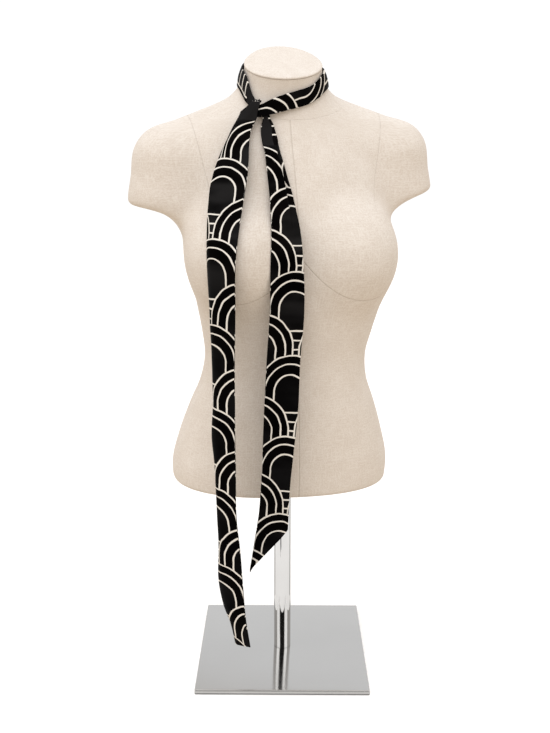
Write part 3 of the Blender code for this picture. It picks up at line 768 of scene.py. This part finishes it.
def closed_loft(name, loops, material):
    """One closed piece through loops of equal count, with a map of how far it runs each way."""
    bm = bmesh.new()
    layer = bm.loops.layers.uv.new("cloth")
    made = [[bm.verts.new(p) for p in loop] for loop in loops]
    count = len(made[0])
    rounds = [norm(np.roll(loop, -1, axis=0) - loop, axis=1).sum() for loop in loops]
    widest = max(rounds)
    climbs = [0.0]
    for lower, upper in zip(loops, loops[1:]):
        climbs.append(climbs[-1] + float(norm(upper - lower, axis=1).mean()))
    for corners in loft_corners(len(made), count):
        face = bm.faces.new([made[r][i % count] for r, i in corners])
        for corner, (r, i) in zip(face.loops, corners):
            corner[layer].uv = (i / count * widest, climbs[r])
    for loop in (made[0][::-1], made[-1]):
        middle = bm.verts.new(sum((v.co for v in loop), Vector()) / count)
        for i in range(count):
            face = bm.faces.new((loop[i], loop[(i + 1) % count], middle))
            for corner in face.loops:
                corner[layer].uv = (corner.vert.co.x, corner.vert.co.y)
    bmesh.ops.recalc_face_normals(bm, faces=bm.faces)
    return finished(name, bm, material)


def cap_loops(edge):
    """The disc on the neck: a soft rounded rim and a top that swells slightly."""
    middle = edge.mean(axis=0)
    up = np.cross(edge[0] - middle, edge[len(edge) // 4] - middle)
    up /= norm(up)
    reach = norm(edge - middle, axis=1, keepdims=True)
    profile = [
        (0.0003, 0.0018), (0.0003, 0.0008), (0.0005, 0.0001), (0.0010, -0.0005), (0.0017, -0.0006),
        (0.0024, -0.0004), (0.0030, 0.0003), (0.0034, 0.0015), (0.0036, 0.0035),
    ]
    loops = [middle + (edge - middle) * (1 - inset / reach) + up * lift for lift, inset in profile]
    for share in (0.85, 0.6, 0.35, 0.1):
        loops.append(middle + (edge - middle) * share + up * (0.0037 + 0.0009 * (1 - share**2)))
    return loops


def turned_shape(name, profile, material, sides=96):
    """A closed shape turned on the pole's axis from a profile of radius and height."""
    bm = bmesh.new()
    turn = np.arange(sides) * 2 * pi / sides
    loops = []
    for radius, z in profile:
        loops.append([bm.verts.new((radius * cos(a), radius * sin(a), z)) for a in turn])
    for corners in loft_corners(len(loops), sides):
        bm.faces.new([loops[r][i % sides] for r, i in corners])
    bm.faces.new(loops[0][::-1])
    bm.faces.new(loops[-1])
    bmesh.ops.recalc_face_normals(bm, faces=bm.faces)
    return finished(name, bm, material, sharp=35)


def plate_shape(material):
    bm = bmesh.new()
    bmesh.ops.create_cube(bm, size=1.0)
    bmesh.ops.scale(bm, verts=bm.verts, vec=(PLATE_SIDE, PLATE_SIDE, PLATE_THICKNESS))
    bmesh.ops.translate(bm, verts=bm.verts, vec=(0.0, 0.0, PLATE_THICKNESS / 2))
    upright = [e for e in bm.edges if abs(e.verts[0].co.z - e.verts[1].co.z) > 0.001]
    bmesh.ops.bevel(bm, geom=upright, offset=0.0016, segments=5, profile=0.5, affect="EDGES")
    rims = [e for e in bm.edges if abs(e.verts[0].co.z - e.verts[1].co.z) < 1e-6
            and len(e.link_faces) == 2 and abs(e.calc_face_angle(0.0)) > 1.0]
    bmesh.ops.bevel(bm, geom=rims, offset=PLATE_EDGE_RADIUS, segments=4, profile=0.5, affect="EDGES")
    return finished("plate_polished", bm, material, sharp=60)


class Nodes:
    """Short calls for building the nodes of one material or world."""

    def __init__(self, owner, shader="Principled BSDF"):
        owner.use_nodes = True
        self.owner, self.tree = owner, owner.node_tree
        self.shader = self.tree.nodes[shader]

    def add(self, kind, **settings):
        node = self.tree.nodes.new(kind)
        for key, value in settings.items():
            setattr(node, key, value)
        return node

    def put(self, socket, value):
        if isinstance(value, bpy.types.NodeSocket):
            self.tree.links.new(value, socket)
        else:
            socket.default_value = value

    def filled(self, kind, keys, values, out=0, **settings):
        """An output of a new node whose inputs at keys hold the values."""
        node = self.add(kind, **settings)
        for key, value in zip(keys, values):
            self.put(node.inputs[key], value)
        return node.outputs[out]

    def surface(self, **values):
        """Values for the shader's own sockets, by their names with _ for each space."""
        for name, value in values.items():
            self.put(self.shader.inputs[name.replace("_", " ")], value)

    def math(self, operation, *values):
        return self.filled("ShaderNodeMath", range(3), values, operation=operation)

    plus = partialmethod(math, "ADD")
    minus = partialmethod(math, "SUBTRACT")
    times = partialmethod(math, "MULTIPLY")
    divided = partialmethod(math, "DIVIDE")
    scaled = partialmethod(math, "MULTIPLY_ADD")
    least = partialmethod(math, "MINIMUM")
    most = partialmethod(math, "MAXIMUM")
    below = partialmethod(math, "LESS_THAN")
    above = partialmethod(math, "GREATER_THAN")
    root = partialmethod(math, "SQRT")
    size = partialmethod(math, "ABSOLUTE")

    def rest(self, share):
        """What share leaves of one."""
        return self.minus(1.0, share)

    def gap(self, a, b):
        return self.size(self.minus(a, b))

    def split(self, vector):
        node = self.add("ShaderNodeSeparateXYZ")
        self.put(node.inputs[0], vector)
        return node.outputs

    def join(self, x, y, z=0.0):
        return self.filled("ShaderNodeCombineXYZ", range(3), (x, y, z))

    def place(self, kind="Object"):
        return self.add("ShaderNodeTexCoord").outputs[kind]

    def uv(self, layer):
        return self.split(self.add("ShaderNodeUVMap", uv_map=layer).outputs[0])

    def noise(self, vector, scale, detail):
        keys = ("Vector", "Scale", "Detail", "Roughness")
        return self.filled("ShaderNodeTexNoise", keys, (vector, scale, detail, 0.5))

    def streaks(self, u, v, across, along, detail, third=0.0):
        """Noise that is drawn out, by how often it changes each way."""
        return self.noise(self.join(self.times(u, across), self.times(v, along), third), 1.0, detail)

    def mix(self, share, first, second):
        return self.filled("ShaderNodeMix", (0, 6, 7), (share, first, second), 2, data_type="RGBA")

    def ramp(self, value, low, high):
        """A smooth step of value from 0 at low to 1 at high."""
        values = (value, low, high)
        return self.filled("ShaderNodeMapRange", range(3), values, interpolation_type="SMOOTHSTEP")

    def bump(self, height, distance, strength):
        keys = ("Height", "Distance", "Strength")
        self.surface(Normal=self.filled("ShaderNodeBump", keys, (height, distance, strength)))


def new_material(name):
    return Nodes(bpy.data.materials.new(name))


def grey(value):
    return (value, value, value, 1.0)


LINEN_LIGHT = (0.870, 0.825, 0.780, 1.0)
LINEN_DARK = (0.745, 0.680, 0.620, 1.0)
SEAM_DARK = (0.400, 0.330, 0.260, 1.0)


# The cover's seams in the form's own frame: slope and place, how sharp, and where they end
FRONT_SEAM = (-0.020, 0.0115)
NECK_SEAM = (0.52, 0.839)
NECK_FAINT = (1.5, 0.00055)
ARM_SEAM = (0.21, -0.0388)
ARM_FAINT = (1.4, 0.00035)
ARM_SEAM_FOOT = 0.690
BUST_SEAM = (7.3, 0.5715)
BUST_MIDDLE = 0.090
BUST_SEAM_REACH = 0.112


def linen_material(name, seamed):
    """Plain-woven linen: fine threads both ways, slubs, and the form's seams as fine grooves."""
    n = new_material(name)
    u, v, _ = n.uv("cloth")
    warp = n.streaks(u, v, 1500.0, 170.0, 2.0)
    weft = n.streaks(u, v, 170.0, 1500.0, 2.0, 9.0)
    threads = n.plus(n.times(warp, 0.5), n.times(weft, 0.5))
    slub_u = n.streaks(u, v, 420.0, 60.0, 3.0, 3.0)
    slub_v = n.streaks(u, v, 60.0, 420.0, 3.0, 6.0)
    slubs = n.most(slub_u, slub_v)
    cloudy = n.noise(n.join(u, v), 28.0, 3.0)
    specks = n.noise(n.join(u, v, 2.0), 560.0, 1.0)
    tone = n.scaled(threads, 0.8, n.times(slubs, 0.7))
    tone = n.scaled(specks, 0.6, n.scaled(cloudy, 0.25, tone))
    colour = n.mix(n.ramp(tone, 0.98, 1.42), LINEN_DARK, LINEN_LIGHT)
    height = n.plus(threads, n.times(slubs, 0.5))
    if seamed:
        turn = n.add("ShaderNodeVectorRotate", rotation_type="Z_AXIS")
        n.put(turn.inputs["Vector"], n.place())
        n.put(turn.inputs["Angle"], -FORM_TURN)
        x, y, z = n.split(turn.outputs[0])
        side = n.size(x)
        below_neck = n.scaled(y, *NECK_SEAM)
        seam = n.plus(n.gap(x, n.scaled(z, *FRONT_SEAM)), n.rest(n.below(z, below_neck)))
        seam = n.least(seam, n.scaled(n.gap(z, below_neck), *NECK_FAINT))
        arm = n.scaled(n.gap(side, n.scaled(z, *ARM_SEAM)), ARM_FAINT[0], n.below(z, ARM_SEAM_FOOT))
        seam = n.least(seam, n.plus(arm, ARM_FAINT[1]))
        reach = n.minus(side, BUST_MIDDLE)
        bust = n.gap(z, n.scaled(n.times(reach, reach), *BUST_SEAM))
        slope = n.times(n.size(reach), 2 * BUST_SEAM[0])
        bust = n.divided(bust, n.root(n.scaled(slope, slope, 1.0)))
        bust = n.plus(bust, n.above(side, BUST_SEAM_REACH))
        seam = n.least(seam, n.plus(bust, n.above(y, 0.0)))
        groove = n.rest(n.ramp(seam, 0.0, 0.0014))
        line = n.rest(n.ramp(seam, 0.0002, 0.0009))
        colour = n.mix(n.times(line, 0.30), colour, SEAM_DARK)
        height = n.minus(height, n.times(groove, 3.0))
    n.surface(Base_Color=colour, Roughness=0.88, Specular_IOR_Level=0.10)
    n.surface(Sheen_Weight=0.03, Sheen_Roughness=0.5)
    n.bump(height, 0.00022, 0.7)
    return n.owner


# Two tones of each of the satin's colours: the plain cloth, the print's bands and its lines; the blacks'
# lighter tones are painted sheen, the pale's two tones follow its threads
SATIN_PLAIN = ((0.0022, 0.0020, 0.0022, 1.0), (0.0158, 0.0154, 0.0163, 1.0))
SATIN_INK = ((0.0006, 0.0003, 0.0003, 1.0), (0.0036, 0.0028, 0.0028, 1.0))
SATIN_PALE = ((0.800, 0.775, 0.735, 1.0), (0.900, 0.880, 0.840, 1.0))

# The print: rows, the way round the tube, where even and odd rows' fans stand, and their arcs
FAN_ROW = 0.0553
FAN_AROUND = 0.094
FAN_EVEN = 0.057
FAN_ODD = 0.015
FAN_RINGS = (0.043, 0.033, 0.0205)
FAN_STRETCH = 0.88
FAN_LINE = 0.0021
RUNGS = (0.0070, 0.0195, 0.0320)
PLAIN_ROWS = (-3.5, -0.5)
EDGE_MARKS = (-0.0160, -0.0285, -0.0410)
EDGE_STRIP = (0.1148, 0.0127)
# Pale flecks painted in the gathers as highlights on the scrunched satin, by middle and reach along the
# cloth, and how noise moves the lines
GATHERS = (-0.0330, 0.0050)
WOBBLE = (0.0022, 0.0026)
LINE_CHANGE = 0.0009
# Painted sheen: the blacks' lighter tone fades to three tenths down the tails, between these reaches
# along the cloth
PAINTED_SHEEN_FADE = (0.17, 0.27)


def fan(n, u, v, row):
    """Inside or outside one fan of that row, how near its lines, and whether it is a band."""
    odd = n.math("FLOORED_MODULO", row, 2.0)
    column = n.scaled(odd, FAN_ODD - FAN_EVEN, FAN_EVEN)
    tall = FAN_RINGS[0] / FAN_STRETCH + FAN_LINE / 2
    half = FAN_AROUND / 2
    aside = n.math("WRAP", n.minus(u, column), half, -half)
    below = n.minus(v, n.scaled(row, FAN_ROW, tall))
    flat = n.times(n.least(below, 0.0), FAN_STRETCH)
    square = n.times(aside, aside)
    reach = n.root(n.scaled(flat, flat, square))
    flatter = n.times(flat, FAN_STRETCH)
    steep = n.root(n.scaled(flatter, flatter, square))
    scale = n.most(n.divided(reach, n.most(steep, 0.0001)), 1.0)
    nearest = n.gap(reach, FAN_RINGS[0])
    for radius in FAN_RINGS[1:]:
        nearest = n.least(nearest, n.gap(reach, radius))
    nearest = n.times(nearest, scale)
    core = n.below(reach, FAN_RINGS[2])
    for rung in RUNGS:
        away = n.gap(below, 2 * FAN_ROW - tall - rung)
        nearest = n.least(nearest, n.plus(away, n.rest(core)))
    inside = n.below(reach, FAN_RINGS[0] + FAN_LINE / 2)
    printed = n.plus(n.below(row, PLAIN_ROWS[0]), n.above(row, PLAIN_ROWS[1]))
    return n.times(inside, printed), nearest, n.rest(core)


def satin_material(name):
    """Black satin with a printed lattice of overlapping fans, in the cut's own coordinates, with painted
    sheen on its blacks.
    """
    n = new_material(name)
    u, v, _ = n.uv("cut")
    x = n.plus(u, n.scaled(n.noise(n.join(u, v), 70.0, 1.0), WOBBLE[0], -WOBBLE[0] / 2))
    y = n.plus(v, n.scaled(n.noise(n.join(u, v, 5.0), 55.0, 1.0), WOBBLE[1], -WOBBLE[1] / 2))
    row = n.math("FLOOR", n.divided(y, FAN_ROW))
    top, near_top, band_top = fan(n, x, y, row)
    under, near_under, band_under = fan(n, x, y, n.minus(row, 1.0))
    under = n.times(under, n.rest(top))
    near = n.plus(n.times(near_top, top), n.times(near_under, under))
    near = n.plus(near, n.rest(n.plus(top, under)))
    band = n.plus(n.times(band_top, top), n.times(band_under, under))
    above = n.below(y, 0.0)
    strip = n.times(n.math("COMPARE", x, *EDGE_STRIP), above)
    for mark in EDGE_MARKS:
        near = n.least(near, n.plus(n.gap(y, mark), n.rest(strip)))
    band = n.most(band, strip)
    # Painted highlights: pale flecks scattered over the gathers near the tails' tops
    gathers = n.times(n.below(u, FAN_AROUND / 2), n.math("COMPARE", v, *GATHERS))
    painted_glints = n.above(n.noise(n.join(u, v, 7.0), 420.0, 0.0), 0.60)
    near = n.times(near, n.rest(n.times(gathers, painted_glints)))
    uneven = n.noise(n.join(u, v, 2.0), 40.0, 1.0)
    width = n.scaled(uneven, LINE_CHANGE, FAN_LINE / 2 - LINE_CHANGE / 2)
    soft = n.rest(n.ramp(n.minus(near, width), -0.00015, 0.00015))
    threads = n.streaks(u, v, 3200.0, 500.0, 1.0)
    # Painted sheen: the plain cloth and the bands lighter in soft streaks, less so down the tails and
    # full where the cut's run is below zero
    painted_sheen = n.ramp(n.streaks(u, v, 12.0, 30.0, 2.0, 4.0), 0.35, 0.65)
    painted_sheen = n.times(painted_sheen, n.scaled(n.ramp(v, *PAINTED_SHEEN_FADE), -0.70, 1.0))
    painted_sheen = n.most(painted_sheen, above)
    dark = n.mix(band, n.mix(painted_sheen, *SATIN_PLAIN), n.mix(painted_sheen, *SATIN_INK))
    pale = n.mix(threads, *SATIN_PALE)
    n.surface(Base_Color=n.mix(soft, dark, pale), Roughness=n.scaled(threads, 0.12, 0.42))
    n.surface(Specular_IOR_Level=0.012, Sheen_Weight=0.001)
    n.bump(n.scaled(threads, 0.06, n.noise(n.join(u, v, 8.0), 120.0, 2.0)), 0.0007, 0.6)
    return n.owner


def chrome_material():
    n = new_material("polished chrome")
    place = n.place()
    smudge = n.noise(place, 22.0, 3.0)
    n.surface(Base_Color=n.mix(smudge, grey(0.56), grey(0.64)), Metallic=1.0)
    n.surface(Roughness=n.scaled(smudge, 0.05, 0.02))
    n.bump(n.noise(place, 160.0, 2.0), 0.00004, 0.4)
    return n.owner


STEEL_DARK = (0.445, 0.443, 0.440, 1.0)
STEEL_LIGHT = (0.515, 0.513, 0.509, 1.0)


def steel_material():
    n = new_material("polished steel")
    x, y, z = n.split(n.place())
    brushed = n.streaks(x, y, 14.0, 900.0, 3.0, z)
    cloudy = n.noise(n.join(x, y, z), 9.0, 2.0)
    tone = n.scaled(brushed, 0.35, n.times(cloudy, 0.65))
    n.surface(Base_Color=n.mix(tone, STEEL_DARK, STEEL_LIGHT), Metallic=1.0)
    n.surface(Roughness=n.scaled(brushed, 0.06, 0.07))
    n.bump(brushed, 0.00002, 0.5)
    return n.owner


def plain_material(name, colour, glow=0.0):
    """A backdrop's material, with a faint unevenness."""
    n = new_material(name)
    cloudy = n.noise(n.place(), 3.0, 2.0)
    paler = tuple(min(1.0, c * 1.02) for c in colour[:3]) + (1.0,)
    n.surface(Base_Color=n.mix(cloudy, colour, paler), Roughness=0.9, Specular_IOR_Level=0.0)
    if glow:
        n.surface(Emission_Color=grey(1.0), Emission_Strength=glow)
    return n.owner


def sheet_of(name, corners, material):
    bm = bmesh.new()
    bm.faces.new([bm.verts.new(corner) for corner in corners])
    piece = finished(name, bm, material)
    return piece


WORLD_LOW = (0.720, 0.608, 0.480, 1.0)
WORLD_HIGH = (0.850, 0.815, 0.775, 1.0)
WORLD_REAR = (1.060, 1.060, 1.060, 1.0)
WORLD_RISE = (-0.25, 0.45)
WORLD_BACK = (0.60, 0.86)
SUN_POWER = 1.15
SUN_WAY = (0.15, 0.45, -1.0)
CAMERA_PLACE = (0.0, -1.3155, 0.7781)
CAMERA_TURN = (radians(90 - 13.65), 0.0, radians(0.4955))
CAMERA_LENS = 45.43

# Cards seen only in reflections, where they paint dark and grey reflections and glowing highlights into
# the pole and plate: reach to the side; distances, bearings and heights of a sector
CARD_REACH = 1.1
# Grey strips on the floor in front of the plate, seen only in that face: a painted shadow round the
# plate's foot
STRIP_REACH = 0.14
STRIP_LIFT = 0.0002
STRIPS = (("far", 0.0105, 0.0150), ("near", 0.0001, 0.0030))
FLOOR_SECTOR = ((0.19, 1.6), (112, 135), (0.001, 0.001))
BRIGHT_SECTOR = ((2.4, 2.4), (36, 76), (0.45, 3.4))

LEVEL_STEP = 0.0036
# Where each tail runs from and to, and where each stretch lies on the print, across and along it
LEFT_REACH = (0.811, 0.096)
RIGHT_REACH = (0.799, 0.212)
LEFT_PRINT = (FAN_AROUND / 2, -0.006)
RIGHT_PRINT = (FAN_AROUND * 3 / 2, -0.030)
LEFT_LOOP_EDGE = 0.031
LEFT_LOOP_END = -0.095
RIGHT_LOOP_EDGE = 0.026
RIGHT_LOOP_START = 1.2156


def sector(side, reach, bearings, heights):
    """Corners of a card between two distances, bearings from -Y towards one side, and heights."""
    ways = [(sin(radians(b)) * side, -cos(radians(b))) for b in bearings]
    order = ((0, 0), (0, 1), (1, 1), (1, 0))
    return [(ways[w][0] * reach[k], ways[w][1] * reach[k], heights[k]) for w, k in order]


def card_corners(reach, first, last):
    """Corners of a card from side to side, between two edges of given depth and height."""
    return [(-reach, *first), (reach, *first), (reach, *last), (-reach, *last)]


def build_studio():
    scene = bpy.context.scene
    scene.view_settings.view_transform = "Standard"
    scene.view_settings.look = "None"
    n = Nodes(bpy.data.worlds.new("white studio"), "Background")
    _, back, up = n.split(n.place("Generated"))
    sky = n.mix(n.ramp(up, *WORLD_RISE), WORLD_LOW, WORLD_HIGH)
    n.surface(Color=n.mix(n.ramp(back, *WORLD_BACK), sky, WORLD_REAR))
    scene.world = n.owner

    white = plain_material("white floor", grey(0.90), 0.25)
    floor = sheet_of("floor", card_corners(6, (-6, 0), (6, 0)), white)
    floor.visible_diffuse = False
    # Cards seen only in reflections: the dark one behind the camera and the grey ones paint dark
    # reflections into the pole and plate, and the glowing white ones paint highlights there
    dusky = plain_material("grey card", grey(0.42))
    bright = plain_material("white card", grey(0.80), 1.6)
    behind = card_corners(CARD_REACH, (-1.9, 0.3), (-1.9, 2.2))
    cards = [("painted_dark_reflection_card", behind, plain_material("dark card", grey(0.02)))]
    edge = -PLATE_SIDE / 2
    # Painted shadow: grey strips before the plate, seen only as dark lines in its front face
    for word, near, far in STRIPS:
        front = card_corners(STRIP_REACH, (edge - near, STRIP_LIFT), (edge - far, STRIP_LIFT))
        cards.append(("painted_shadow_strip_" + word, front, dusky))
    for side, word in ((-1, "left"), (1, "right")):
        cards.append(("painted_grey_reflection_" + word, sector(side, *FLOOR_SECTOR), dusky))
        cards.append(("painted_highlight_card_" + word, sector(side, *BRIGHT_SECTOR), bright))
    for name, corners, material in cards:
        card = sheet_of(name, corners, material)
        card.visible_camera = card.visible_diffuse = card.visible_shadow = False

    sun = bpy.data.lights.new("overhead", "SUN")
    sun.energy = SUN_POWER
    sun.angle = radians(70)
    sun.color = (0.98, 0.99, 1.0)
    lamp = placed_in_scene("overhead", sun)
    lamp.rotation_euler = Vector(SUN_WAY).to_track_quat("-Z", "Y").to_euler()

    camera = bpy.data.cameras.new("camera")
    camera.lens = CAMERA_LENS
    camera.sensor_width = 36.0
    camera.clip_start, camera.clip_end = 0.05, 50.0
    eye = placed_in_scene("camera", camera)
    eye.location = CAMERA_PLACE
    eye.rotation_euler = CAMERA_TURN
    scene.camera = eye


def on_print(rings, across, along):
    """The same rings, with the cut's coordinates moved or turned to where the print starts."""
    (side, across_way), (start, along_way) = across, along
    return [
        Ring(ring.outer, ring.inner, side + across_way * ring.across, start + along_way * ring.along)
        for ring in rings
    ]


def tail_rings(rows, knot_end, end, reach, tree, place):
    """The rings of one tail from its knot down, its cut running the other way round."""
    levels = steps(*reach, -LEVEL_STEP) + [reach[1]]
    rings = Tail(rows, knot_end, end, levels, tree).rings()
    return on_print(rings, (place[0], -1), (place[1], 1))


def main():
    linen = linen_material("woven linen", True)
    cap_linen = linen_material("woven linen of the cap", False)
    satin = satin_material("printed satin")
    chrome = chrome_material()
    steel = steel_material()

    rings = form_rings(FORM_SIDES, FORM_FINENESS)
    cover = closed_loft("torso_cover", whole_form(rings), linen)
    cap = closed_loft("neck_cap_cover", cap_loops(rings[-1]), cap_linen)
    pieces = [(cover, "form_torso", "form_linen", None), (cap, "neck_cap", "form_linen", None)]

    tree = BVHTree.FromPolygons(*ring_faces(rings))
    left_tail = tail_rings(LEFT_TAIL, LEFT_KNOT_END, LEFT_END, LEFT_REACH, tree, LEFT_PRINT)
    right_tail = tail_rings(RIGHT_TAIL, RIGHT_KNOT_END, RIGHT_END, RIGHT_REACH, tree, RIGHT_PRINT)
    left_loop = loop_rings(NECK_LEFT, 70)[0]
    start = LEFT_LOOP_END - left_loop[-1].along[0]
    left_loop = on_print(left_loop, (LEFT_LOOP_EDGE, 1), (start, 1))
    right_loop = wrapped_loop(*loop_rings(NECK_RIGHT, 110))
    right_loop = on_print(right_loop, (RIGHT_LOOP_EDGE, 1), (RIGHT_LOOP_START, -1))
    for name, node, found in (
        ("scarf_left_tail", "tail_left", left_tail),
        ("scarf_right_tail", "tail_right", right_tail),
        ("scarf_left_loop", "neck_left", left_loop),
        ("scarf_right_loop", "neck_right", right_loop),
    ):
        pieces.append((cloth_tube(name, found, satin), node, "scarf_satin", found))

    top = HEM_HEIGHT + SOCKET_DEPTH - SEAM_GAP
    radius = POLE_DIAMETER / 2
    foot = PLATE_THICKNESS + SEAM_GAP
    profile = [(radius - 0.0012, foot), (radius, foot), (radius, foot + 0.1)]
    profile += [(radius, top - 0.001), (radius - 0.001, top)]
    pieces.append((turned_shape("pole_tube", profile, chrome), "pole", "pole_chrome", None))
    pieces.append((plate_shape(steel), "base_plate", "plate_steel", None))

    for piece, node, slot, found in pieces:
        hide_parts(node)
    for piece, *_ in pieces:
        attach(piece, "root")
    build_studio()


main()
